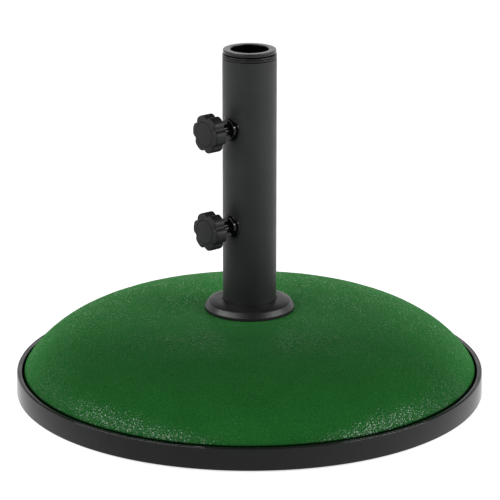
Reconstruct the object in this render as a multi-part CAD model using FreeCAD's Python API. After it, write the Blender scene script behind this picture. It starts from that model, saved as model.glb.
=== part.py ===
"""Weighted patio umbrella base: a domed concrete ballast in a black plastic tray, with a bolted-on steel stem,
two clamping knobs and two nested pole reducers.

Millimetres: +Z is up along the stem, the origin is on the floor under the stem's axis,
and both knobs point along -Y.
"""

import math
import os

import FreeCAD
import Part

V = FreeCAD.Vector
X, Y, Z = V(1, 0, 0), V(0, 1, 0), V(0, 0, 1)
ORIGIN = V(0, 0, 0)

# ---- base tray and feet
base_radius = 225.0
rim_draft = 0.7
foot_proud = 1.5
rim_height = 21.3
rim_top = foot_proud + rim_height
tray_wall = 2.6
lip_inner_radius = 219.4
lip_thickness = 2.0
lip_edge_round = 0.7
bead_width = 1.1
bead_groove_width = 0.8
bead_groove_depth = 0.6
tray_floor_bottom = foot_proud + 2.5
tray_floor_top = tray_floor_bottom + 2.0
tray_rib_thickness = 2.0
tray_radial_ribs = 12
tray_ring_rib_radii = (30.0, 105.0, 165.0)
foot_count = 6
foot_circle_radius = 192.0
foot_radius = 14.0
foot_cup_wall = 2.0
foot_cup_clearance = 0.05
foot_edge_chamfer = 0.5

# ---- concrete ballast: a superelliptic dome above a shoulder that the tray's lip hooks over
dome_radius = 217.4
dome_edge_height = foot_proud + 19.9
dome_rise = 59.2
dome_radial_power = 4.15
dome_rise_power = 0.806
dome_points = 16
dome_seat_radius = 44.0
shoulder_radius = 221.5
shoulder_height = 20.2
shoulder_chamfer = 1.5
wire_ring_radius = 150.0
wire_ring_height = 32.0
wire_radius = 3.0
wire_bar_offset = 40.0

# ---- stem: tube, end plate and the flange that it stands in
tube_radius = 25.6
tube_wall = 1.2
tube_inner_radius = tube_radius - tube_wall
tube_top = foot_proud + 325.1
flange_radius = 43.0
flange_edge_round = 5.0
flange_top_at_tube = foot_proud + 89.6
flange_shoulder_radius = 37.5
flange_shoulder_height = foot_proud + 88.0
flange_skin = 3.0
flange_hub_radius = 29.5
seat_depth = 4.6
seat_clearance = 0.25
tube_bottom = flange_top_at_tube - seat_depth
end_plate_thickness = 4.0
end_plate_clearance = 0.05

# ---- M10 anchor bolt cast into the ballast head down, and its hardware
bolt_radius = 5.0
bolt_clearance = 0.05
bolt_head_bottom = 24.0
bolt_head_height = 6.4
bolt_head_flats = 16.0
bolt_tip = 103.0
anchor_washer_radius = 18.0
anchor_washer_thickness = 3.0
lock_washer_thickness = 2.5
lock_washer_radius = 8.8
lock_washer_gap = 1.6
plate_nut_height = 8.0
plate_nut_flats = 16.0

# ---- knobs, weld nuts and pressure pads, on axes along -Y
knob_heights = {"upper": foot_proud + 260.2, "lower": foot_proud + 165.4}
stud_radius = 4.0
thread_clearance = 0.05
nut_saddle_radius = 12.3
nut_saddle_thickness = 0.8
nut_reach_up_and_down = 20.0
nut_flange_radius = 9.8
nut_flange_face = 27.4
nut_flange_round = 0.8
nut_barrel_radius = 5.5
nut_barrel_end = 38.0
nut_flute_count = 8
nut_flute_radius = 0.9
nut_spigot_radius = 5.9
spigot_clearance = 0.1
grip_back = 42.6
grip_front = 55.2
grip_radius = 18.2
grip_lobes = 6
grip_notch_depth = 2.5
grip_notch_width_deg = 9.5
grip_notch_phase_deg = 23.0
grip_points_per_lobe = 12
grip_edge_round = 2.0
grip_back_round = 0.8
grip_hub_radius = 8.5
grip_hub_end = 45.6
grip_pocket_radius = 14.0
grip_pocket_depth = 5.0
grip_rib_thickness = 1.6
cap_radius = 11.5
cap_gap = 0.25
cap_depth = 2.0
cap_proud = 0.4
cap_edge_round = 0.6
stud_head_flats = 13.0
stud_head_height = 5.0
stud_head_front = grip_front - cap_depth
stud_tip = 26.8
pad_tip = 24.5
pad_thrust_gap = 0.3
pad_radius = 3.2
pad_stem_radius = 1.5
pad_stem_length = 5.0
pad_bore_clearance = 0.05

# ---- pole reducers
bore_radius = 18.0
inner_sleeve_radius = 19.5
outer_bore_radius = 19.58
outer_sleeve_radius = 21.2
outer_rib_radius = tube_inner_radius - 0.08
outer_rib_thickness = 1.6
outer_rib_count = 8
outer_flange_top = foot_proud + 329.6
outer_groove_heights = (foot_proud + 325.9, foot_proud + 328.1)
outer_groove_width = 0.8
outer_groove_depth = 1.0
inner_neck_radius = 23.6
inner_neck_height = 1.2
inner_flange_radius = 25.0
inner_flange_top = foot_proud + 333.9
reducer_edge_round = 0.35
bore_mouth_round = 0.8
outer_sleeve_bottom = tube_top - 36.0
inner_sleeve_bottom = outer_sleeve_bottom + 2.0


def cylinder(radius, low, high, axis=Z, centre=ORIGIN):
    """A cylinder along axis, from low to high measured along it from centre."""
    return Part.makeCylinder(radius, high - low, centre + axis * low, axis)


def tube(outer, inner, low, high, axis=Z, centre=ORIGIN):
    return cylinder(outer, low, high, axis, centre).cut(cylinder(inner, low - 1, high + 1, axis, centre))


def revolve(points):
    """A solid turned about Z from a closed outline of (radius, height) points."""
    corners = [V(r, 0, z) for r, z in points]
    outline = Part.makePolygon(corners + corners[:1])
    return Part.Face(outline).revolve(ORIGIN, Z, 360)


def hexagon(flats, low, high, axis=Z, centre=ORIGIN):
    """A hexagonal prism along axis, with the given distance across its flats."""
    corner_radius = flats / math.sqrt(3)
    corners = [V(corner_radius * math.cos(k * math.pi / 3), corner_radius * math.sin(k * math.pi / 3), 0)
               for k in range(6)]
    prism = Part.Face(Part.makePolygon(corners + corners[:1])).extrude(Z * (high - low))
    turn = FreeCAD.Rotation(Z, axis)
    prism.Placement = FreeCAD.Placement(centre + axis * low, turn)
    return prism


def around(shape, count, first_deg=0.0):
    """Copies of shape, evenly turned about Z."""
    copies = []
    for k in range(count):
        copy = shape.copy()
        copy.rotate(ORIGIN, Z, first_deg + 360.0 * k / count)
        copies.append(copy)
    return copies


def edges_where(shape, test):
    return [edge for edge in shape.Edges if test(edge)]


def is_circle_at(radius, height, tolerance=0.01):
    """A test for a full circle about Z of the given radius and height."""
    def test(edge):
        curve = edge.Curve
        return (isinstance(curve, Part.Circle) and abs(curve.Radius - radius) < tolerance
                and abs(curve.Center.z - height) < tolerance)
    return test


# ---------------------------------------------------------------- base

def base_tray():
    """Dish with a drafted outer wall, an inward lip and a ribbed underside with six foot cups."""
    top_radius = base_radius - rim_draft
    wall_inner = top_radius - tray_wall
    groove_outer = top_radius - bead_width
    groove_inner = groove_outer - bead_groove_width
    dish = revolve([
        (0, tray_floor_bottom),
        (base_radius - tray_wall - 1.0, tray_floor_bottom),
        (base_radius - tray_wall, foot_proud),
        (base_radius, foot_proud),
        (top_radius, rim_top),
        (groove_outer, rim_top),
        (groove_outer, rim_top - bead_groove_depth),
        (groove_inner, rim_top - bead_groove_depth),
        (groove_inner, rim_top),
        (lip_inner_radius, rim_top),
        (lip_inner_radius, rim_top - lip_thickness),
        (wall_inner, rim_top - lip_thickness),
        (wall_inner, tray_floor_top),
        (0, tray_floor_top),
    ])
    rounded = edges_where(dish, is_circle_at(lip_inner_radius, rim_top))
    dish = dish.makeFillet(lip_edge_round, rounded)
    dish = dish.makeFillet(bead_width * 0.5, edges_where(dish, is_circle_at(top_radius, rim_top)))

    rib_reach = base_radius - tray_wall
    rib = Part.makeBox(rib_reach - tray_ring_rib_radii[0], tray_rib_thickness, tray_floor_bottom - foot_proud,
                       V(tray_ring_rib_radii[0], -tray_rib_thickness / 2, foot_proud))
    ribs = around(rib, tray_radial_ribs, 180.0 / tray_radial_ribs)
    rings = [tube(radius + tray_rib_thickness / 2, radius - tray_rib_thickness / 2, foot_proud, tray_floor_bottom)
             for radius in tray_ring_rib_radii]
    foot_at = V(foot_circle_radius, 0, 0)
    cup = cylinder(foot_radius + foot_cup_wall, foot_proud, tray_floor_bottom, centre=foot_at)
    socket = cylinder(foot_radius + foot_cup_clearance, 0, tray_floor_bottom, centre=foot_at)
    tray = dish.multiFuse(ribs + rings + around(cup, foot_count))
    for hole in around(socket, foot_count):
        tray = tray.cut(hole)
    return tray.removeSplitter()


def rubber_feet():
    foot = cylinder(foot_radius, 0, tray_floor_bottom, centre=V(foot_circle_radius, 0, 0))
    lower = [edge for edge in foot.Edges if isinstance(edge.Curve, Part.Circle) and edge.Curve.Center.z < 0.01]
    return Part.makeCompound(around(foot.makeChamfer(foot_edge_chamfer, lower), foot_count))


def dome_height(radius):
    share = max(0.0, 1.0 - (radius / dome_radius) ** dome_radial_power)
    return dome_edge_height + dome_rise * share ** dome_rise_power


def wire_cage():
    """Cast-in reinforcement: a wire ring with two bars across it."""
    ring = Part.makeTorus(wire_ring_radius, wire_radius, V(0, 0, wire_ring_height))
    reach = math.sqrt(wire_ring_radius ** 2 - wire_bar_offset ** 2)
    bars = []
    for side in (-1, 1):
        bars.append(cylinder(wire_radius, -reach, reach, X, V(0, side * wire_bar_offset, wire_ring_height)))
    return ring.multiFuse(bars).removeSplitter()


def concrete_ballast():
    """Dome with a flat seat for the stem flange and a shoulder for the tray's lip, cast round bolt and wire."""
    curve = Part.BSplineCurve()
    span = dome_radius - dome_seat_radius
    # Points crowd towards the steep edge, where the outline turns fastest.
    steps = [math.sin(math.pi / 2 * k / (dome_points - 1)) for k in range(dome_points)]
    radii = [dome_seat_radius + span * step for step in steps]
    curve.interpolate([V(r, 0, dome_height(r)) for r in radii])
    seat_height = dome_height(dome_seat_radius)
    corners = [
        V(dome_radius, 0, dome_edge_height),
        V(dome_radius, 0, shoulder_height),
        V(shoulder_radius, 0, shoulder_height),
        V(shoulder_radius, 0, tray_floor_top + shoulder_chamfer),
        V(shoulder_radius - shoulder_chamfer, 0, tray_floor_top),
        V(0, 0, tray_floor_top),
        V(0, 0, seat_height),
        V(dome_seat_radius, 0, seat_height),
    ]
    edges = [curve.toShape()] + [Part.makeLine(a, b) for a, b in zip(corners, corners[1:])]
    solid = Part.Face(Part.Wire(Part.__sortEdges__(edges))).revolve(ORIGIN, Z, 360)
    return solid.cut(wire_cage()).cut(anchor_bolt()).cut(anchor_washer())


# ---------------------------------------------------------------- stem

def stem_flange():
    """Low domed flange on the ballast, with a seat that the tube stands in and a hollow underside."""
    bottom = dome_height(dome_seat_radius)
    seat_radius = tube_radius + seat_clearance
    edge_top = flange_shoulder_height - 1.2
    start = V(flange_radius, 0, bottom + 1.0)
    outer_arc = Part.Arc(start, V(flange_radius - 1.6, 0, edge_top - 1.9),
                         V(flange_shoulder_radius, 0, flange_shoulder_height))
    crown_arc = Part.Arc(V(flange_shoulder_radius, 0, flange_shoulder_height),
                         V((flange_shoulder_radius + seat_radius) / 2 + 1.0, 0, flange_top_at_tube - 0.35),
                         V(seat_radius, 0, flange_top_at_tube))
    hollow_outer = flange_radius - flange_skin - 0.5
    hollow_top = flange_shoulder_height - flange_skin - 0.8
    bore = bolt_radius + 0.5
    corners = [
        V(seat_radius, 0, flange_top_at_tube),
        V(seat_radius, 0, tube_bottom),
        V(bore, 0, tube_bottom),
        V(bore, 0, bottom),
        V(flange_hub_radius, 0, bottom),
        V(flange_hub_radius, 0, hollow_top),
        V(hollow_outer - 2.0, 0, hollow_top),
        V(hollow_outer, 0, bottom),
        V(flange_radius, 0, bottom),
        start,
    ]
    edges = [outer_arc.toShape(), crown_arc.toShape()]
    edges += [Part.makeLine(a, b) for a, b in zip(corners, corners[1:])]
    return Part.Face(Part.Wire(Part.__sortEdges__(edges))).revolve(ORIGIN, Z, 360)


def stem_tube():
    body = tube(tube_radius, tube_inner_radius, tube_bottom, tube_top)
    for height in knob_heights.values():
        hole = cylinder(nut_spigot_radius + spigot_clearance, tube_inner_radius - 6, tube_radius + 1,
                        -Y, V(0, 0, height))
        body = body.cut(hole)
    return body


def end_plate():
    return tube(tube_inner_radius - end_plate_clearance, bolt_radius + 0.3,
                tube_bottom, tube_bottom + end_plate_thickness)


def end_plate_nut():
    low = tube_bottom + end_plate_thickness + lock_washer_thickness
    nut = hexagon(plate_nut_flats, low, low + plate_nut_height)
    return nut.cut(cylinder(bolt_radius + bolt_clearance, low - 1, low + plate_nut_height + 1))


def anchor_bolt():
    head_top = bolt_head_bottom + bolt_head_height
    head = hexagon(bolt_head_flats, bolt_head_bottom, head_top)
    cone_radius = bolt_head_flats / 2
    crown = Part.makeCone(cone_radius, cone_radius + bolt_head_height * 1.8, bolt_head_height,
                          V(0, 0, bolt_head_bottom))
    shank = cylinder(bolt_radius, head_top, bolt_tip)
    return head.common(crown).fuse(shank.makeChamfer(1.0, edges_where(shank, is_circle_at(bolt_radius, bolt_tip))))


def lock_washer():
    """Split spring washer under the nut, cut through at one side."""
    low = tube_bottom + end_plate_thickness
    ring = tube(lock_washer_radius, bolt_radius + 0.2, low, low + lock_washer_thickness)
    gap = Part.makeBox(lock_washer_radius, lock_washer_gap, lock_washer_thickness + 2,
                       V(0, -lock_washer_gap / 2, low - 1))
    return ring.cut(gap)


def anchor_washer():
    """Large washer on the bolt's head that spreads its pull in the concrete."""
    low = bolt_head_bottom + bolt_head_height
    return tube(anchor_washer_radius, bolt_radius, low, low + anchor_washer_thickness)


# ---------------------------------------------------------------- weld nuts and knobs

def weld_nut(height):
    """Threaded bush: a stepped flange saddled on the tube, a spigot through its wall and a fluted barrel."""
    centre = V(0, 0, height)
    low, high = height - nut_reach_up_and_down, height + nut_reach_up_and_down
    saddle_top = tube_radius + nut_saddle_thickness
    saddle = cylinder(nut_saddle_radius, tube_radius - 4, saddle_top + 1, -Y, centre)
    saddle = saddle.common(cylinder(saddle_top, low, high))
    flange = cylinder(nut_flange_radius, tube_radius - 4, nut_flange_face, -Y, centre)
    front = [edge for edge in flange.Edges
             if isinstance(edge.Curve, Part.Circle) and abs(edge.Curve.Center.y + nut_flange_face) < 0.01]
    flange = flange.makeFillet(nut_flange_round, front)
    plate = saddle.fuse(flange).cut(cylinder(tube_radius, low, high))
    barrel = cylinder(nut_barrel_radius, nut_flange_face - 1, nut_barrel_end, -Y, centre)
    for k in range(nut_flute_count):
        angle = math.radians(360.0 * (k + 0.5) / nut_flute_count)
        reach = nut_barrel_radius + nut_flute_radius * 0.35
        flute_at = V(reach * math.cos(angle), 0, height + reach * math.sin(angle))
        flute = cylinder(nut_flute_radius, nut_flange_face + 0.6, nut_barrel_end + 1, -Y, flute_at)
        barrel = barrel.cut(flute)
    spigot = cylinder(nut_spigot_radius, tube_inner_radius, nut_flange_face - 0.5, -Y, centre)
    thread = cylinder(stud_radius + thread_clearance, 0, nut_barrel_end + 2, -Y, centre)
    nut = plate.multiFuse([barrel, spigot]).removeSplitter()
    return nut.cut(thread)


def grip_outline_radius(angle):
    """Distance of the star outline from the knob's axis: six broad lobes with a narrow notch between them."""
    pitch = 2 * math.pi / grip_lobes
    offset = (angle - math.radians(grip_notch_phase_deg) + pitch / 2) % pitch - pitch / 2
    return grip_radius - grip_notch_depth * math.exp(-(offset / math.radians(grip_notch_width_deg)) ** 2)


def grip_blank(low, high):
    """The star prism, standing on Z from low to high."""
    count = grip_lobes * grip_points_per_lobe
    angles = [2 * math.pi * k / count for k in range(count)]
    points = [V(grip_outline_radius(a) * math.cos(a), grip_outline_radius(a) * math.sin(a), low) for a in angles]
    outline = Part.BSplineCurve()
    outline.interpolate(Points=points, PeriodicFlag=True)
    return Part.Face(Part.Wire(outline.toShape())).extrude(Z * (high - low))


def to_knob_axis(shape, height):
    """Turns a shape built along +Z so that +Z becomes -Y and +Y becomes up, at the knob's height."""
    moved = shape.copy()
    moved.Placement = FreeCAD.Placement(V(0, 0, height), FreeCAD.Rotation(X, 90)).multiply(shape.Placement)
    return moved


def knob_grip():
    """Star grip with a cap recess and a hex pocket in front, and a short hub in a ribbed hollow behind."""
    blank = grip_blank(grip_back, grip_front)
    for end, size in ((grip_front, grip_edge_round), (grip_back, grip_back_round)):
        outline = edges_where(blank, lambda edge: edge.isClosed() and abs(edge.CenterOfMass.z - end) < 0.01)
        blank = blank.makeFillet(size, outline)
    floor = grip_back + grip_pocket_depth
    hollow = cylinder(grip_pocket_radius, grip_back - 1, floor).cut(cylinder(grip_hub_radius, grip_hub_end, floor))
    rib = Part.makeBox(grip_pocket_radius, grip_rib_thickness, floor - grip_hub_end,
                       V(0, -grip_rib_thickness / 2, grip_hub_end))
    for spoke in around(rib, grip_lobes, grip_notch_phase_deg):
        hollow = hollow.cut(spoke)
    recess = cylinder(cap_radius + cap_gap, stud_head_front, grip_front + 1)
    pocket = hexagon(stud_head_flats + 0.1, stud_head_front - stud_head_height, grip_front)
    bore = cylinder(stud_radius + 0.05, grip_hub_end - 1, grip_front)
    return blank.cut(hollow).cut(recess).cut(pocket).cut(bore)


def knob_cap():
    cap = cylinder(cap_radius, stud_head_front, grip_front + cap_proud)
    return cap.makeFillet(cap_edge_round, edges_where(cap, is_circle_at(cap_radius, grip_front + cap_proud)))


def knob_stud():
    """Hex-headed M8 stud held in the grip, with a blind bore in its tip for the pad's stem."""
    head = hexagon(stud_head_flats, stud_head_front - stud_head_height, stud_head_front)
    shank = cylinder(stud_radius, stud_tip, stud_head_front - stud_head_height + 0.5)
    shank = shank.makeChamfer(0.6, edges_where(shank, is_circle_at(stud_radius, stud_tip)))
    bore = cylinder(pad_stem_radius + pad_bore_clearance, stud_tip - 1, stud_tip + pad_stem_length + 0.3)
    return head.fuse(shank).cut(bore)


def pressure_pad():
    """Nylon pad that bears on the pole and doesn't turn with the stud."""
    disc = cylinder(pad_radius, pad_tip, stud_tip - pad_thrust_gap)
    disc = disc.makeFillet(0.5, edges_where(disc, is_circle_at(pad_radius, pad_tip)))
    return disc.fuse(cylinder(pad_stem_radius, pad_tip + 1.0, stud_tip + pad_stem_length))


# ---------------------------------------------------------------- pole reducers

def outer_reducer():
    """Sleeve with outside ribs that centre it in the tube, under a grooved flange flush with the tube."""
    flange = tube(tube_radius, outer_bore_radius, tube_top, outer_flange_top)
    flange = flange.makeFillet(reducer_edge_round, edges_where(flange, is_circle_at(tube_radius, outer_flange_top)))
    for height in outer_groove_heights:
        groove = tube(tube_radius + 1, tube_radius - outer_groove_depth,
                      height - outer_groove_width / 2, height + outer_groove_width / 2)
        flange = flange.cut(groove)
    sleeve = tube(outer_sleeve_radius, outer_bore_radius, outer_sleeve_bottom, tube_top)
    rib = Part.makeBox(outer_rib_radius, outer_rib_thickness, tube_top - outer_sleeve_bottom,
                       V(0, -outer_rib_thickness / 2, outer_sleeve_bottom))
    annulus = tube(outer_rib_radius, outer_bore_radius, outer_sleeve_bottom, tube_top)
    ribs = [spoke.common(annulus) for spoke in around(rib, outer_rib_count, 180.0 / outer_rib_count)]
    return flange.multiFuse([sleeve] + ribs).removeSplitter()


def inner_reducer():
    """Thin sleeve with the pole bore, under a flange that stands on a short neck."""
    neck_top = outer_flange_top + inner_neck_height
    flange = cylinder(inner_flange_radius, neck_top, inner_flange_top)
    edge = is_circle_at(inner_flange_radius, inner_flange_top)
    flange = flange.makeFillet(reducer_edge_round, edges_where(flange, edge))
    neck = cylinder(inner_neck_radius, outer_flange_top, neck_top)
    sleeve = cylinder(inner_sleeve_radius, inner_sleeve_bottom, outer_flange_top)
    body = flange.multiFuse([neck, sleeve]).removeSplitter()
    body = body.cut(cylinder(bore_radius, inner_sleeve_bottom - 1, inner_flange_top + 1))
    return body.makeFillet(bore_mouth_round, edges_where(body, is_circle_at(bore_radius, inner_flange_top)))


def main():
    nodes = {
        "base_tray": base_tray(),
        "rubber_feet": rubber_feet(),
        "concrete_ballast": concrete_ballast(),
        "reinforcement_wire": wire_cage(),
        "anchor_bolt": anchor_bolt(),
        "lock_washer": lock_washer(),
        "anchor_washer": anchor_washer(),
        "stem_flange": stem_flange(),
        "stem_tube": stem_tube(),
        "end_plate": end_plate(),
        "end_plate_nut": end_plate_nut(),
        "outer_reducer": outer_reducer(),
        "inner_reducer": inner_reducer(),
    }
    for name, height in knob_heights.items():
        nodes[name + "_weld_nut"] = weld_nut(height)
        nodes[name + "_knob_grip"] = to_knob_axis(knob_grip(), height)
        nodes[name + "_knob_cap"] = to_knob_axis(knob_cap(), height)
        nodes[name + "_knob_stud"] = to_knob_axis(knob_stud(), height)
        nodes[name + "_pressure_pad"] = to_knob_axis(pressure_pad(), height)
    os.makedirs("parts", exist_ok=True)
    for name, shape in nodes.items():
        valid = all(solid.isValid() for solid in shape.Solids)
        print(f"{name}: {len(shape.Solids)} solid(s), {shape.Volume / 1000:.2f} cm3, valid {valid}")
        shape.exportStep(f"parts/{name}.step")


main()
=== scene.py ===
"""Looks of a patio umbrella's base: green concrete dome, black tray, coated tube, knobs and reducers."""
import math

import bpy
import numpy as np
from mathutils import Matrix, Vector, noise


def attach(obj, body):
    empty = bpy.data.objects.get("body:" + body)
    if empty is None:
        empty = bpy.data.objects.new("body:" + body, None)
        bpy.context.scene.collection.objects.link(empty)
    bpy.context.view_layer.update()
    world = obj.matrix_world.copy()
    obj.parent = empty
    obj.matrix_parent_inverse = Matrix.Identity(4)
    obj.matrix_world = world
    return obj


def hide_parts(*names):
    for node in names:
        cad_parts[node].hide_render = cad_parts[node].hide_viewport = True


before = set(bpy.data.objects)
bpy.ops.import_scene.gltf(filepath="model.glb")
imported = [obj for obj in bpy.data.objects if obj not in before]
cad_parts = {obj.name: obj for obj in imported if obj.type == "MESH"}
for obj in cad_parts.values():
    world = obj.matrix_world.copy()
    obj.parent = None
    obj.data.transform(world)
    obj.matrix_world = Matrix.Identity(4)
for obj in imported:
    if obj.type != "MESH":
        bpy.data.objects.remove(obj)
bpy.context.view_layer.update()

# Sizes are in mm, and heights are above the floor.
MM = 0.001                       # metres in a mm
FOOT = 1.5                       # the feet lift the tray this far off the floor
FEET_CIRCLE = 192                # radius of the circle the feet stand on
TRAY_TOP = FOOT + 21.3
DOME_EDGE = 217.4                # radius of the dome's edge, just inside the tray's lip
SEAT = 44.0                      # radius of the flat seat under the flange
BOLT_HOLE = 5.05                 # radius of the well for the anchor bolt
TUBE = 25.6                      # outside radius of the upright tube
TUBE_TOP = FOOT + 325.1          # the outer reducer's ring lies on the tube's end here
OUTER_TOP = FOOT + 329.6         # the inner reducer's flange lies on the outer reducer here
INNER_TOP = FOOT + 333.9
NEST = 19.58                     # radius of the outer reducer's bore
BORE = 18.0                      # radius of the inner reducer's bore
KNOBS = {"upper": FOOT + 260.2, "lower": FOOT + 165.4}     # heights of the knobs' axes
STUD_HOLE = 4.05                 # radius of the holes a knob's stud goes through
NOTCH_DEG = 23                   # direction of the knob's first notch
KNOB_FACE = 55.2                 # distance from the tube's axis to the rim of the knob's cap
CAP_FLOOR = 53.2                 # the same distance, to the underside of the cap
CREASE_DEG = 32                  # edges sharper than this are drawn sharp


# ---------------------------------------------------------------- mesh tools

def rounded(points, steps=5, closed=True):
    """Outline from (radius, height, corner radius) points in mm, with each corner turned into an arc."""
    result = []
    count = len(points)
    for k, (r, z, corner) in enumerate(points):
        here = Vector((r, z))
        if corner == 0 or (not closed and k in (0, count - 1)):
            result.append((r, z))
            continue
        back = (Vector(points[k - 1][:2]) - here).normalized()
        ahead = (Vector(points[(k + 1) % count][:2]) - here).normalized()
        half = back.angle(ahead) / 2
        centre = here + (back + ahead).normalized() * corner / math.sin(half)
        first = here + back * corner / math.tan(half) - centre
        last = here + ahead * corner / math.tan(half) - centre
        sweep = first.angle(last)
        for step in range(steps + 1):
            share = step / steps
            arm = first * math.sin((1 - share) * sweep) + last * math.sin(share * sweep)
            result.append(tuple(centre + arm / math.sin(sweep)))
    return result


def new_piece(name, vertices, faces, material, body):
    """Mesh from mm coordinates that rides on a body, smooth-shaded except at its sharp edges."""
    mesh = bpy.data.meshes.new(name)
    mesh.from_pydata([tuple(v) for v in np.asarray(vertices, float) * MM], [], faces)
    mesh.validate()
    mesh.shade_smooth()
    mesh.set_sharp_from_angle(angle=math.radians(CREASE_DEG))
    mesh.materials.append(material)
    piece = bpy.data.objects.new(name, mesh)
    bpy.context.scene.collection.objects.link(piece)
    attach(piece, body)
    return piece


def grid_faces(rows, columns, wrap_rows):
    """Quads between successive rows of points; every row is a closed ring."""
    faces = []
    for i in range(rows if wrap_rows else rows - 1):
        here, there = i * columns, (i + 1) % rows * columns
        for j in range(columns):
            right = (j + 1) % columns
            faces.append((here + j, here + right, there + right, there + j))
    return faces


def directions(count):
    """Angles of equal steps round a circle."""
    return [2 * math.pi * k / count for k in range(count)]


def skinned(rows):
    """Closed skin over rows of (radius, height) pairs, one pair for each direction round Z."""
    angles = directions(len(rows[0]))
    vertices = [(r * math.cos(a), r * math.sin(a), z) for row in rows for (r, z), a in zip(row, angles)]
    return vertices, grid_faces(len(rows), len(angles), True)


def turned(profile, segments, move=None):
    """Turns a (radius, height) outline about Z: a ring, or a solid if it starts and ends on the axis.

    move(radius, height, angle) may shift the points.
    """
    area = sum(r0 * z1 - r1 * z0 for (r0, z0), (r1, z1) in zip(profile, profile[1:] + profile[:1]))
    if area < 0:
        profile = profile[::-1]
    solid = profile[0][0] == 0
    rings = profile[1:-1] if solid else profile
    vertices = []
    for r, z in rings:
        for angle in directions(segments):
            r2, z2 = move(r, z, angle) if move else (r, z)
            vertices.append((r2 * math.cos(angle), r2 * math.sin(angle), z2))
    faces = grid_faces(len(rings), segments, not solid)
    if solid:
        low, high, top = len(vertices), len(vertices) + 1, (len(rings) - 1) * segments
        vertices += [(0, 0, profile[0][1]), (0, 0, profile[-1][1])]
        for j in range(segments):
            right = (j + 1) % segments
            faces += [(low, right, j), (high, top + j, top + right)]
    return vertices, faces


def merge(parts):
    """Joins several (vertices, faces) pairs into one."""
    vertices, faces = [], []
    for part_vertices, part_faces in parts:
        start = len(vertices)
        vertices.extend(part_vertices)
        faces.extend(tuple(start + index for index in face) for face in part_faces)
    return vertices, faces


def wave(angle, terms):
    """Sum of cosines: terms are (turns, size, phase)."""
    return sum(size * math.cos(turns * angle + phase) for turns, size, phase in terms)


# ---------------------------------------------------------------- materials

def fill_ramp(node, stops):
    """Gives a colour ramp its (position, grey or colour) stops."""
    elements = node.color_ramp.elements
    while len(elements) < len(stops):
        elements.new(0.5)
    for element, (position, colour) in zip(elements, stops):
        element.position = position
        colour = (colour, colour, colour) if isinstance(colour, (int, float)) else colour
        element.color = (*colour, 1.0)


class Paint:
    """One procedural material, built node by node round a Principled shader."""

    def __init__(self, name, **sockets):
        self.material = bpy.data.materials.new(name)
        self.material.use_nodes = True
        self.tree = self.material.node_tree
        self.shader = self.tree.nodes["Principled BSDF"]
        self.set(**sockets)
        self.place = self.tree.nodes.new("ShaderNodeTexCoord").outputs["Object"]

    def feed(self, socket, value):
        """Links a value made by another node, or sets a number or colour on the socket itself."""
        if isinstance(value, bpy.types.NodeSocket):
            self.tree.links.new(value, socket)
        else:
            socket.default_value = value

    def set(self, **sockets):
        """Feeds the shader's own sockets."""
        for socket, value in sockets.items():
            self.feed(self.shader.inputs[socket.replace("_", " ")], value)

    def node(self, kind, inputs=(), **settings):
        made = self.tree.nodes.new("ShaderNode" + kind)
        for key, value in settings.items():
            setattr(made, key, value)
        for key, value in dict(inputs).items():
            self.feed(made.inputs[key], value)
        return made

    def noise(self, scale, detail=3.0, rough=0.5, stretch=None):
        place = self.place
        if stretch:
            place = self.node("Mapping", {"Vector": place, "Scale": stretch}).outputs[0]
        inputs = {"Vector": place, "Scale": scale, "Detail": detail, "Roughness": rough}
        return self.node("TexNoise", inputs).outputs["Fac"]

    def cells(self, scale, output="Distance"):
        return self.node("TexVoronoi", {"Vector": self.place, "Scale": scale}).outputs[output]

    def ramp(self, value, stops):
        """Maps a value through (position, grey or colour) stops."""
        made = self.node("ValToRGB", {"Fac": value})
        fill_ramp(made, stops)
        return made.outputs["Color"]

    def blend(self, factor, a, b, mode="MIX"):
        made = self.node("Mix", data_type="RGBA", blend_type=mode)
        self.feed(made.inputs[0], factor)
        for index, value in ((6, a), (7, b)):
            colour = value if isinstance(value, bpy.types.NodeSocket) else (*value, 1.0)
            self.feed(made.inputs[index], colour)
        return made.outputs[2]

    def maths(self, operation, a, b=0.0):
        return self.node("Math", {0: a, 1: b}, operation=operation).outputs[0]

    def axis(self, letter, turn_deg=0):
        """X, Y or Z of each point in metres, after turning the points round Z."""
        place = self.place
        if turn_deg:
            turn = (0, 0, math.radians(turn_deg))
            place = self.node("Mapping", {"Vector": place, "Rotation": turn}).outputs[0]
        return self.node("SeparateXYZ", {"Vector": place}).outputs[letter]

    def between(self, value, start, end, low=0.0):
        """Grows from low to 1 while a value in metres goes from start to end, given in mm."""
        limits = {"Value": value, "From Min": start * MM, "From Max": end * MM, "To Min": low}
        return self.node("MapRange", limits).outputs[0]

    def bumps(self, *layers):
        """Stacks bump layers of (height, distance in mm)."""
        normal = None
        for height, distance in layers:
            inputs = {"Height": height, "Strength": 1.0, "Distance": distance * MM}
            if normal:
                inputs["Normal"] = normal
            normal = self.node("Bump", inputs).outputs[0]
        self.set(Normal=normal)


def dome_height(r):
    """Height of the dome at a radius: a superellipse that rises from the dome's edge."""
    edge, rise = FOOT + 19.9, 59.2
    share = max(0.0, 1.0 - (r / DOME_EDGE) ** 4.15)
    return edge + rise * share ** 0.806


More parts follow.
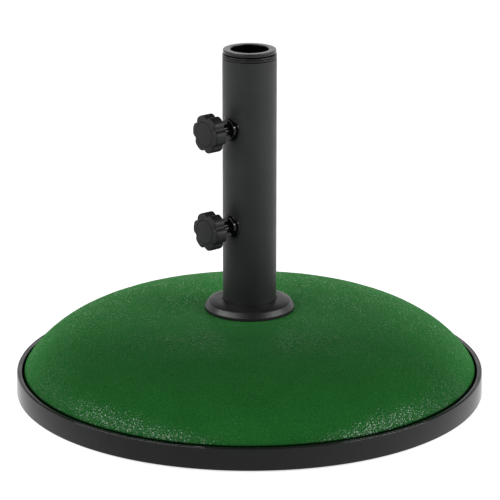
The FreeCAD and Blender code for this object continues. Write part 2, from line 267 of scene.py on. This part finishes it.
def green_concrete():
    """Sandy concrete under green paint: grains, colour drift, pinholes, bare grains in clusters that are
    partly painted glints, a far half painted paler as painted light, and a joint painted black as painted
    shade.
    """
    p = Paint("green_concrete", Specular_IOR_Level=0.0, Coat_Roughness=0.14,
              Sheen_Weight=0.10, Sheen_Roughness=0.4, Sheen_Tint=(0.42, 1.0, 0.46, 1.0))
    base = p.ramp(p.noise(22, 4), [(0.3, (0.0145, 0.113, 0.0210)), (0.7, (0.0170, 0.129, 0.0240))])
    grain = p.ramp(p.noise(900, 2, 0.6), [(0.3, 0.70), (0.7, 1.30)])
    colour = p.blend(1.0, base, grain, "MULTIPLY")
    rare = p.ramp(p.noise(90, 1), [(0.60, 1.0), (0.66, 0.0)])
    pits = p.blend(rare, p.ramp(p.cells(260), [(0.10, 0.25), (0.22, 1.0)]), (1, 1, 1))
    colour = p.blend(1.0, colour, pits, "MULTIPLY")

    # Fitted to the photo: the far half is painted paler, as painted light from behind, and carries more
    # bare grains, partly painted glints; grains are glossiest in front.
    depth = p.axis("Y", turn_deg=-50)
    rear = p.between(depth, -90, 100)
    front = p.between(depth, -60, -115, low=0.25)
    clusters = p.ramp(p.noise(30, 3, 0.6), [(0.40, 0.15), (0.58, 1.0)])
    # Bare grains, partly painted glints: light specks in clusters, mostly on the far half.
    spots = p.ramp(p.cells(520), [(0.22, 1.0), (0.34, 0.0)])
    bare_grains_and_glints = p.maths("MULTIPLY", spots, p.ramp(p.cells(520, "Color"), [(0.58, 0.0), (0.64, 1.0)]))
    wear_and_glint_share = p.ramp(rear, [(0.10, 0.10), (0.55, 1.0)])
    bare_grains_and_glints = p.maths("MULTIPLY", bare_grains_and_glints, p.maths("MULTIPLY", wear_and_glint_share, clusters))
    colour = p.blend(bare_grains_and_glints, colour, (0.26, 0.42, 0.26))
    # Painted light: the colour grows paler towards the far half, up to nearly double, as if lit from
    # behind.
    painted_rear_light = p.ramp(rear, [(0.0, 0.84), (0.5, 1.45), (1.0, (1.95, 1.95, 1.85))])
    colour = p.blend(1.0, colour, painted_rear_light, "MULTIPLY")

    # The joint with the tray is painted almost black: painted shade in the gap.
    edge = dome_height(DOME_EDGE)
    clear = p.between(p.axis("Z"), edge + 0.9, edge + 2.3)
    p.set(Base_Color=p.blend(clear, (0.0008, 0.0016, 0.0009), colour))
    p.set(Roughness=p.ramp(p.noise(500, 2), [(0.3, 0.75), (0.7, 0.95)]))
    gloss = p.ramp(p.cells(1100, "Color"), [(0.66, 0.05), (0.80, 1.0)])
    p.set(Coat_Weight=p.maths("MULTIPLY", clear, p.maths("MULTIPLY", gloss, front)))
    p.bumps((p.noise(420, 3, 0.6), 0.20), (p.cells(520), 0.22))
    p.set(Coat_Normal=p.shader.inputs["Normal"].links[0].from_socket)
    return p.material


def moulded(name, colour, rough, grain_scale, grain_mm, spread=0.06, painted_shade_heights=None):
    """Moulded plastic or powder coat: fine surface grain, drifting roughness and a little colour haze.

    The last argument is the pair of heights in mm between which the colour darkens towards the ground, as
    painted shade.
    """
    p = Paint(name)
    haze = 0.15
    low = tuple(c * (1 - haze) for c in colour)
    high = tuple(c * (1 + haze) for c in colour)
    tone = p.ramp(p.noise(35, 4, 0.6), [(0.3, low), (0.7, high)])
    if painted_shade_heights:
        # Painted shade: the colour darkens to about a third towards the ground.
        share = p.between(p.axis("Z"), *painted_shade_heights)
        tone = p.blend(1.0, tone, p.ramp(share, [(0.0, 0.35), (1.0, 1.0)]), "MULTIPLY")
    p.set(Base_Color=tone)
    p.set(Roughness=p.ramp(p.noise(60, 5, 0.65), [(0.3, rough - spread), (0.7, rough + spread)]))
    p.bumps((p.noise(grain_scale, 2, 0.55), grain_mm))
    return p.material


def grooved_plastic():
    """The reducers' plastic, coloured almost black in its grooves, neck and bore as painted shade."""
    p = Paint("reducer_plastic")
    x, y, z = (p.axis(letter) for letter in "XYZ")
    radius = p.maths("SQRT", p.maths("ADD", p.maths("MULTIPLY", x, x), p.maths("MULTIPLY", y, y)))
    bore = p.between(radius, BORE + 0.8, BORE + 0.4)
    recess = p.maths("MULTIPLY", p.between(radius, 24.8, 24.3), p.between(radius, 21.5, 22.5))
    recess = p.maths("MULTIPLY", recess, p.between(z, TUBE_TOP - 0.5, TUBE_TOP - 0.1))
    below_rim = p.between(z, INNER_TOP - 0.3, INNER_TOP - 0.8)
    # Painted shade: the grooves, the neck's recess and the bore are coloured almost black and reflect less.
    painted_groove_shade = p.maths("MULTIPLY", p.maths("MAXIMUM", bore, recess), below_rim)
    drift = p.ramp(p.noise(35, 4, 0.6), [(0.3, 0.0140), (0.7, 0.0175)])
    p.set(Base_Color=p.blend(painted_groove_shade, drift, (0.0010, 0.0010, 0.0010)))
    p.set(Specular_IOR_Level=p.ramp(painted_groove_shade, [(0.0, 0.55), (1.0, 0.10)]))
    p.set(Roughness=p.ramp(p.noise(60, 5, 0.65), [(0.3, 0.16), (0.7, 0.26)]))
    p.bumps((p.noise(900, 2, 0.55), 0.010))
    return p.material


def plated(name, colour, rough):
    """Plated steel with fine drawn lines and faint blotches."""
    p = Paint(name, Metallic=1.0)
    p.set(Base_Color=p.ramp(p.noise(120, 4), [(0.3, tuple(c * 0.8 for c in colour)), (0.7, colour)]))
    p.set(Roughness=p.ramp(p.noise(300, 3, stretch=(1, 1, 8)), [(0.3, rough - 0.08), (0.7, rough + 0.1)]))
    p.bumps((p.noise(700, 2, stretch=(1, 1, 10)), 0.02))
    return p.material


stone = green_concrete()
tray_plastic = moulded("tray_plastic", (0.0090, 0.0094, 0.0094), 0.09, 520, 0.004, spread=0.03)
rubber = moulded("foot_rubber", (0.018, 0.018, 0.019), 0.72, 800, 0.03)
flange_plastic = moulded("flange_plastic", (0.010, 0.010, 0.0105), 0.39, 600, 0.01)
# The tube's colour darkens towards its foot as painted shade.
tube_paint = moulded("tube_paint", (0.017, 0.018, 0.019), 0.42, 700, 0.015, painted_shade_heights=(95, 240))
reducer_plastic = grooved_plastic()
bush_plastic = moulded("bush_plastic", (0.003, 0.003, 0.0035), 0.08, 500, 0.004, spread=0.03)
knob_plastic = moulded("knob_plastic", (0.0036, 0.0040, 0.0042), 0.56, 1300, 0.03)
nylon = moulded("pad_plastic", (0.62, 0.61, 0.56), 0.5, 700, 0.02)
zinc = plated("zinc_steel", (0.58, 0.59, 0.62), 0.32)
drawn_wire = plated("bright_steel", (0.45, 0.44, 0.43), 0.45)


# ---------------------------------------------------------------- ballast

def make_ballast():
    """Painted dome, slightly uneven as cast concrete is, down to a shoulder under the tray's lip."""
    seat = dome_height(SEAT)
    rings = 110
    reach = DOME_EDGE - SEAT
    arc = [SEAT + reach * math.sin(math.pi / 2 * (k / rings) ** 0.9) for k in range(rings + 1)]
    well = [(0, 33.0), (BOLT_HOLE, 33.0), (BOLT_HOLE, seat), (SEAT - 1, seat)]
    shoulder = [(DOME_EDGE, 20.2), (221.5, 20.2), (221.5, 7.5), (220.0, 6.0), (0, 6.0)]
    even_inside, even_below = SEAT + 1, 21.6
    waves = ((0.16, 26), (0.07, 6), (0.05, 2.4))

    def uneven(r, z, angle):
        if r < even_inside or z < even_below:
            return r, z
        spot = Vector((r * math.cos(angle), r * math.sin(angle), z))
        lift = sum(size * noise.noise(spot / width) for size, width in waves)
        lift *= min(1.0, (r - even_inside) / 6, (DOME_EDGE + 0.4 - r) / 3)
        return r + lift * 0.4, z + lift
    profile = well + [(r, dome_height(r)) for r in arc] + shoulder
    vertices, faces = turned(profile, 480, uneven)
    piece = new_piece("ballast_dome", vertices, faces, stone, "base")
    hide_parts("concrete_ballast")


# ---------------------------------------------------------------- tray and feet

def box_part(low, high, turn):
    """A plain rib between two corners, turned about Z."""
    c, s = math.cos(turn), math.sin(turn)
    corners = [(x * c - y * s, x * s + y * c, z) for z in (low[2], high[2])
               for x, y in ((low[0], low[1]), (high[0], low[1]), (high[0], high[1]), (low[0], high[1]))]
    faces = [(3, 2, 1, 0), (4, 5, 6, 7)] + [(k, (k + 1) % 4, (k + 1) % 4 + 4, k + 4) for k in range(4)]
    return corners, faces


def spokes(inner, outer, low, high, thickness, count, first_deg):
    """Upright ribs between two radii, round Z."""
    return [box_part((inner, -thickness / 2, low), (outer, thickness / 2, high),
                     math.radians(first_deg + 360 * k / count)) for k in range(count)]


def at_each_foot(part):
    """Copies a part to the places of the six feet."""
    vertices, faces = part
    copies = []
    for a in directions(6):
        x0, y0 = FEET_CIRCLE * math.cos(a), FEET_CIRCLE * math.sin(a)
        copies.append(([(x + x0, y + y0, z) for x, y, z in vertices], faces))
    return copies


def make_tray():
    """Outer wall with a rounded top, a groove and a flat lip over the ballast, and a ribbed floor."""
    top, bottom = TRAY_TOP, FOOT
    floor_low, floor_high = 4.0, 6.0
    ribs_top = floor_low + 0.2
    profile = rounded([
        (0, floor_low, 0), (221.4, floor_low, 0), (222.4, bottom, 0.4), (224.85, bottom, 0.9),
        (224.25, top, 0.9), (223.2, top, 0.25), (223.0, top - 0.6, 0.15), (222.5, top - 0.6, 0.15),
        (222.3, top - 0.05, 0.25), (219.4, top, 0.8), (219.4, top - 2.0, 0.3), (221.7, top - 2.0, 0),
        (221.7, floor_high, 0), (0, floor_high, 0)], closed=False)

    def wavy(r, z, angle):
        if r < 200:
            return r, z
        sway = wave(angle, [(3, 0.10, 0.4), (7, 0.06, 2.0), (17, 0.035, 1.1)])
        lift = wave(angle, [(5, 0.12, 0.9), (11, 0.08, 2.7), (23, 0.05, 0.2), (41, 0.03, 1.7)])
        near_top = max(0.0, (z - 15) / (top - 15))
        return r + min(0.0, sway - 0.19), z + min(0.0, lift - 0.28) * near_top
    parts = [turned(profile, 540, wavy)]
    for r in (30.0, 105.0, 165.0):
        parts.append(turned([(r - 1, bottom), (r + 1, bottom), (r + 1, ribs_top), (r - 1, ribs_top)], 180))
    parts += spokes(31, 222, bottom, ribs_top, 2, 12, 15)
    parts += at_each_foot(turned([(14.05, bottom), (16, bottom), (16, ribs_top), (14.05, ribs_top)], 64))
    vertices, faces = merge(parts)
    piece = new_piece("tray_shell", vertices, faces, tray_plastic, "base")
    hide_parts("base_tray")


def make_feet():
    """Rubber feet with a chamfered edge, and a dish and two tread grooves moulded underneath."""
    hole, radius, top = 0.6, 14.0, 4.0
    profile = [(hole, 0.3, 0), (3.4, 0.3, 0), (3.8, 0.0, 0)]
    for r in (6.4, 10.4):
        profile += [(r, 0.0, 0), (r + 0.4, 0.5, 0), (r + 1.2, 0.5, 0), (r + 1.6, 0.0, 0)]
    profile += [(radius - 0.5, 0.0, 0.3), (radius, 0.6, 0.2), (radius, top, 0.0), (hole, top, 0)]
    vertices, faces = merge(at_each_foot(turned(rounded(profile), 96)))
    piece = new_piece("rubber_feet_treads", vertices, faces, rubber, "base")
    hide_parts("rubber_feet")


# ---------------------------------------------------------------- stem

def make_flange():
    """Rolled flange round the tube's foot, nearly flat on top."""
    seat = dome_height(SEAT)
    top = FOOT + 89.6
    collar, below_tube = TUBE + 0.25, top - 4.6
    profile = [
        (5.5, seat, 0), (43.0, seat, 0.3), (42.9, seat + 3.0, 1.2), (39.5, top - 2.0, 4.0),
        (34.0, top - 0.8, 8.0), (collar, top, 0.4), (collar, below_tube, 0), (5.5, below_tube, 0)]
    vertices, faces = turned(rounded(profile, steps=8), 192)
    piece = new_piece("stem_flange_rolled", vertices, faces, flange_plastic, "base")
    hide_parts("stem_flange")


def make_outer_reducer():
    """Ring as wide as the tube, with two grooves, over a ribbed sleeve that goes down inside the tube."""
    low, sleeve, groove_floor = TUBE_TOP - 36, 21.2, TUBE - 1.05
    profile = [(NEST, low, 0.3), (sleeve, low, 0.4), (sleeve, TUBE_TOP, 0), (TUBE, TUBE_TOP, 0.15)]
    for z in (TUBE_TOP + 0.8, TUBE_TOP + 3.0):
        profile += [(TUBE, z - 0.55, 0.12), (groove_floor, z - 0.3, 0.12)]
        profile += [(groove_floor, z + 0.3, 0.12), (TUBE, z + 0.55, 0.12)]
    profile += [(TUBE, OUTER_TOP, 0.35), (NEST, OUTER_TOP, 0.4)]
    ribs = spokes(20.4, TUBE - 1.28, low + 0.5, TUBE_TOP, 1.6, 8, 22.5)
    vertices, faces = merge([turned(rounded(profile, steps=4), 160)] + ribs)
    piece = new_piece("outer_reducer_ring", vertices, faces, reducer_plastic, "outer_reducer")
    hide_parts("outer_reducer")


def make_inner_reducer():
    """Ring with a narrower neck under it, over a plain sleeve inside the outer reducer."""
    low, sleeve, neck, rim = FOOT + 291.1, 19.5, 23.6, 25.0
    neck_top = OUTER_TOP + 1.2
    profile = [
        (BORE, low, 0.3), (sleeve, low, 0.4), (sleeve, OUTER_TOP, 0), (neck, OUTER_TOP, 0.1),
        (neck, neck_top, 0.15), (rim, neck_top, 0.3), (rim, INNER_TOP, 0.7), (BORE, INNER_TOP, 0.8)]
    vertices, faces = turned(rounded(profile), 160)
    piece = new_piece("inner_reducer_ring", vertices, faces, reducer_plastic, "inner_reducer")
    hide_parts("inner_reducer")


# ---------------------------------------------------------------- knobs

def on_knob_axis(vertices, height):
    """Turns points built along +Z so that +Z becomes -Y and +Y becomes up, at the knob's height."""
    return [(x, -z, y + height) for x, y, z in vertices]


def star(angle):
    """Outline radius of the knob: six broad lobes with a narrow notch between them."""
    lobe, notch_depth, notch_width = 18.2, 2.5, math.radians(9.5)
    pitch = math.pi / 3
    offset = (angle - math.radians(NOTCH_DEG) + pitch / 2) % pitch - pitch / 2
    return lobe - notch_depth * math.exp(-(offset / notch_width) ** 2)


def quarter(steps):
    """(cosine, sine) pairs from 0 to 90 degrees."""
    angles = [math.pi / 2 * k / steps for k in range(steps + 1)]
    return [(math.cos(a), math.sin(a)) for a in angles]


def make_grip(side, height):
    """Star grip: crowned face, rounded lobe edges, notches right through, and a ribbed hollow behind."""
    columns = 216
    angles = directions(columns)
    back, hub, brow = 42.6, 45.6, 54.6
    back_round, front_round = 0.8, 1.6
    recess = 11.75
    hollow = hub + 2.0
    inside = ((STUD_HOLE, hub), (8.5, hub), (8.5, hollow), (14.0, hollow), (14.0, back + 0.4), (14.4, back))
    edge = [(back_round * (1 - s), back + back_round * (1 - c)) for c, s in quarter(6)]
    edge += [(front_round * (1 - c), brow - front_round + front_round * s) for c, s in quarter(8)]
    rows = [[(r, z)] * columns for r, z in inside]
    rows += [[(star(a) - inset, z) for a in angles] for inset, z in edge]
    for k in range(1, 7):                    # crowned face, closing from the star to the cap's circle
        share = k / 6
        z = brow + (KNOB_FACE - brow) * math.sin(share * math.pi / 2)
        rows.append([((star(a) - front_round) * (1 - share) + (recess + 0.2) * share, z) for a in angles])
    well = ((recess, KNOB_FACE - 0.2), (recess, CAP_FLOOR), (7.0, CAP_FLOOR), (STUD_HOLE, CAP_FLOOR))
    rows += [[(r, z)] * columns for r, z in well]
    ribs = spokes(8.3, 14.2, hub, hollow + 0.2, 1.6, 6, NOTCH_DEG)
    vertices, faces = merge([skinned(rows)] + ribs)
    vertices = on_knob_axis(vertices, height)
    piece = new_piece(side + "_grip_star", vertices, faces, knob_plastic, side + "_knob")
    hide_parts(side + "_knob_grip")


def make_cap(side, height):
    """Slightly domed cap in the grip's recess."""
    radius = 11.5
    crown_radius, crown_low, crown_rise = 10.9, KNOB_FACE + 0.1, 0.3
    profile = [(0, CAP_FLOOR), (radius, CAP_FLOOR), (radius, KNOB_FACE - 0.3), (radius - 0.15, KNOB_FACE)]
    for k in range(9):
        share = k / 8
        z = crown_low + crown_rise * math.sin(math.pi / 2 * share)
        profile.append((crown_radius * (1 - share), z))
    vertices, faces = turned(profile, 96)
    vertices = on_knob_axis(vertices, height)
    piece = new_piece(side + "_cap_disc", vertices, faces, knob_plastic, side + "_knob")
    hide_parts(side + "_knob_cap")


def make_stud(side, height):
    """Hex-headed stud with a real M8 thread down its shank."""
    pitch, columns = 1.25, 48
    major, tip_radius, thread_depth = 4.0, 3.3, 0.62
    tip, neck, head_low = 26.8, 48.3, 48.2
    centre_hole, half_flats = 1.55, 6.5
    steps = int((neck - tip) / pitch * 10)
    rows = []
    for i in range(steps + 1):
        z = tip + (neck - tip) * i / steps
        taper = min(1.0, (z - tip) / 1.2 + 0.2)
        turns = [(z / pitch - j / columns) % 1.0 for j in range(columns)]
        thread = [major - thread_depth * abs(2 * turn - 1) ** 1.15 for turn in turns]
        widest = tip_radius + (major - tip_radius) * taper
        rows.append([(min(r, widest), z) for r in thread])
    sixth = math.pi / 3
    hexagon = [half_flats / math.cos((a + sixth / 2) % sixth - sixth / 2) for a in directions(columns)]
    rows += [[(r, z) for r in hexagon] for z in (head_low, CAP_FLOOR)]
    rows += [[(centre_hole, z)] * columns for z in (CAP_FLOOR, tip)]
    vertices, faces = skinned(rows)
    vertices = on_knob_axis(vertices, height)
    piece = new_piece(side + "_stud_thread", vertices, faces, zinc, side + "_knob")
    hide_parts(side + "_knob_stud")


def make_bush(side, height):
    """Threaded bush: a thin saddle hugging the tube, a rounded flange and a fluted barrel."""
    columns = 160
    angles = directions(columns)
    spigot, saddle, flange, barrel = 5.9, 12.3, 9.8, 5.5
    spigot_end, flange_face, barrel_end = 24.45, 27.4, 38.0
    saddle_round, flange_round, chamfer = 0.5, 0.8, 0.4
    flange_low = flange_face - flange_round

    def ring(radius, z):
        return [(radius, z)] * columns

    def on_tube(radius, lift):
        return [(radius, math.sqrt((TUBE + lift) ** 2 - (radius * math.cos(a)) ** 2)) for a in angles]

    def fluted(z, inset=0.0):
        flutes, depth, width = 8, 0.75, 0.17
        turns = [(a / (2 * math.pi / flutes)) % 1.0 - 0.5 for a in angles]
        return [(barrel - depth * math.exp(-(turn / width) ** 2) - inset, z) for turn in turns]
    rows = [ring(STUD_HOLE, spigot_end), ring(spigot, spigot_end)]
    rows += [on_tube(spigot, 0.0), on_tube(saddle, 0.0)]
    rows += [on_tube(saddle - saddle_round * (1 - c), 0.3 + saddle_round * s) for c, s in quarter(5)]
    rows.append(on_tube(flange + 0.02, 0.8))
    rows += [ring(flange - flange_round * (1 - c), flange_low + flange_round * s) for c, s in quarter(6)]
    rows += [ring(6.2, flange_face), ring(5.7, flange_face + 0.1)]
    rows += [fluted(z) for z in (flange_face + 0.4, 33.0, barrel_end - 0.6)]
    rows += [fluted(barrel_end, chamfer), ring(STUD_HOLE, barrel_end)]
    vertices, faces = skinned(rows)
    vertices = on_knob_axis(vertices, height)
    piece = new_piece(side + "_bush_fluted", vertices, faces, bush_plastic, "base")
    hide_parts(side + "_weld_nut")


# ---------------------------------------------------------------- scene

def softbox(name, azimuth, elevation, distance, width, height, power):
    """Area light that faces the object. Azimuth 0 is in front, on the knobs' side, and 90 is on +X."""
    light = bpy.data.lights.new(name, "AREA")
    light.shape = "RECTANGLE"
    light.size, light.size_y, light.energy = width, height, power
    lamp = bpy.data.objects.new(name, light)
    a, e = math.radians(azimuth), math.radians(elevation)
    way = Vector((math.sin(a) * math.cos(e), -math.cos(a) * math.cos(e), math.sin(e)))
    lamp.location = way * distance
    lamp.rotation_euler = (-way).to_track_quat("-Z", "Y").to_euler()
    lamp.visible_camera = False
    bpy.context.scene.collection.objects.link(lamp)


def studio():
    """White walls low down, brightest behind the object, under a dark ceiling."""
    world = bpy.data.worlds.new("studio")
    world.use_nodes = True
    tree = world.node_tree
    way = tree.nodes.new("ShaderNodeTexCoord").outputs["Generated"]
    split = tree.nodes.new("ShaderNodeSeparateXYZ")
    tree.links.new(way, split.inputs[0])
    by_height = tree.nodes.new("ShaderNodeValToRGB")
    fill_ramp(by_height, [(0.0, 0.75), (0.25, 0.9), (0.36, 0.5), (0.5, 0.12), (0.9, 0.06)])
    tree.links.new(split.outputs["Z"], by_height.inputs[0])
    brightest = (-0.574, 0.819, 0.0)
    behind = tree.nodes.new("ShaderNodeVectorMath")
    behind.operation = "DOT_PRODUCT"
    behind.inputs[1].default_value = brightest
    tree.links.new(way, behind.inputs[0])
    strength = tree.nodes.new("ShaderNodeMapRange")
    limits = {"From Min": -1.0, "From Max": 0.7, "To Min": 0.36, "To Max": 1.15}
    for socket, value in limits.items():
        strength.inputs[socket].default_value = value
    tree.links.new(behind.outputs["Value"], strength.inputs["Value"])
    background = tree.nodes["Background"]
    tree.links.new(by_height.outputs[0], background.inputs["Color"])
    tree.links.new(strength.outputs[0], background.inputs["Strength"])
    bpy.context.scene.world = world


def make_stage():
    """White floor and two softboxes, in the studio."""
    half = 12.0                              # metres
    corners = [(-half, -half, 0), (half, -half, 0), (half, half, 0), (-half, half, 0)]
    mesh = bpy.data.meshes.new("floor")
    mesh.from_pydata(corners, [], [(0, 1, 2, 3)])
    floor = bpy.data.objects.new("floor", mesh)
    p = Paint("floor", Roughness=0.9, Emission_Strength=0.72, Emission_Color=(1.0, 1.0, 1.0, 1.0))
    p.set(Base_Color=p.ramp(p.noise(3, 3), [(0.3, 0.90), (0.7, 0.92)]))
    mesh.materials.append(p.material)
    bpy.context.scene.collection.objects.link(floor)
    floor.location.z = -0.2 * MM             # just under the feet
    floor.visible_glossy = False

    studio()
    softbox("softbox_left", azimuth=-9, elevation=34, distance=2.2, width=2.8, height=0.4, power=28)
    softbox("softbox_right", azimuth=120, elevation=29, distance=2.2, width=1.8, height=0.4, power=23)


def make_camera():
    """The camera solved from the photo's outlines."""
    place = Vector((1.9347, -1.6234, 0.9217))
    target = Vector((0.00025, 0.0003, 0.13855))
    lens = bpy.data.cameras.new("camera")
    lens.sensor_width = 36.0
    lens.lens = 199.4
    camera = bpy.data.objects.new("camera", lens)
    camera.location = place
    camera.rotation_euler = (target - place).to_track_quat("-Z", "Y").to_euler()
    bpy.context.scene.collection.objects.link(camera)
    bpy.context.scene.camera = camera


plain = {
    "stem_tube": tube_paint, "end_plate": tube_paint, "end_plate_nut": zinc, "anchor_bolt": zinc,
    "lock_washer": zinc, "anchor_washer": zinc, "reinforcement_wire": drawn_wire,
    "upper_pressure_pad": nylon, "lower_pressure_pad": nylon,
}
for node, material in plain.items():
    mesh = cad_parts[node].data
    mesh.materials.clear()
    mesh.materials.append(material)

make_ballast()
make_tray()
make_feet()
make_flange()
make_outer_reducer()
make_inner_reducer()
for side, height in KNOBS.items():
    make_grip(side, height)
    make_cap(side, height)
    make_stud(side, height)
    make_bush(side, height)
make_stage()
make_camera()
bpy.context.scene.view_settings.view_transform = "Standard"
